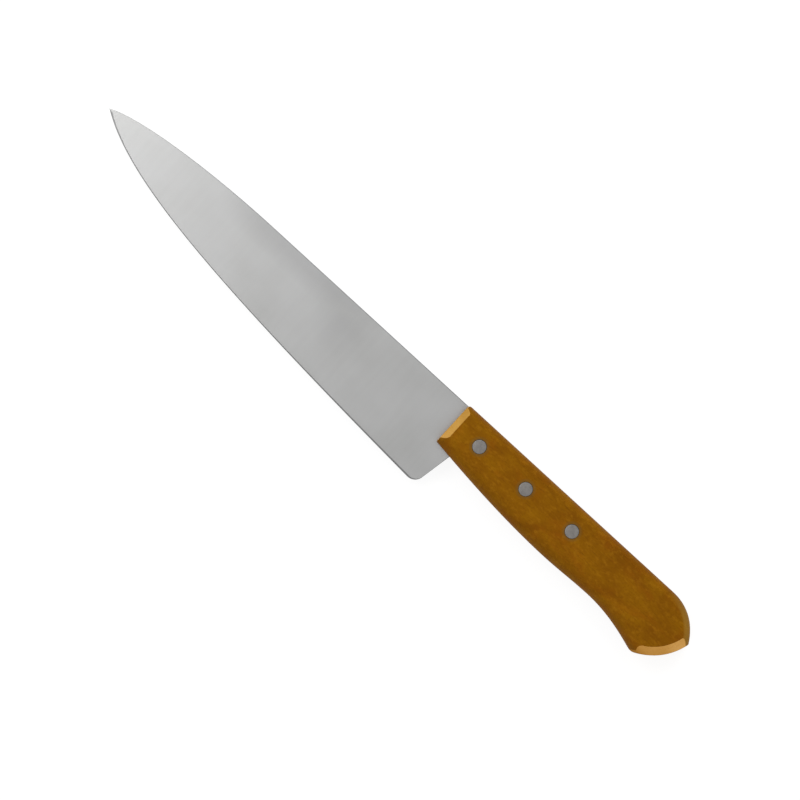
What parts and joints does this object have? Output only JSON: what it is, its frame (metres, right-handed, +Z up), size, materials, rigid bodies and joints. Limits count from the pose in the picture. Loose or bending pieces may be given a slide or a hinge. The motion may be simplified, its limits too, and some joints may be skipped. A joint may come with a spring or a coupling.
{
  "type": "kitchen knife",
  "caption": "Kitchen knife for fish with a broad triangular steel blade, a straight spine, and a riveted wooden handle with chamfered ends and a flared butt.",
  "frame": {"origin": "under the middle of the knife's box, on the surface that the handle's side lies on", "axes": "+X runs from the tip to the butt, +Y from the cutting edge to the spine, and +Z up out of the side, square to the blade"},
  "size_m": [0.3028, 0.0362, 0.016],
  "materials": {
    "blade_steel": "fine satin grind across the blade",
    "handle_wood": "golden brown stain under thin lacquer, with paler wood on the end chamfers",
    "rivet_aluminium": "ground flush and dull"
  },
  "bodies": {
    "root": {"blade": "blade_steel", "handle": "handle_wood", "rivet_front_female": "rivet_aluminium", "rivet_front_male": "rivet_aluminium", "rivet_middle_female": "rivet_aluminium", "rivet_middle_male": "rivet_aluminium", "rivet_rear_female": "rivet_aluminium", "rivet_rear_male": "rivet_aluminium"}
  },
  "joints": []
}
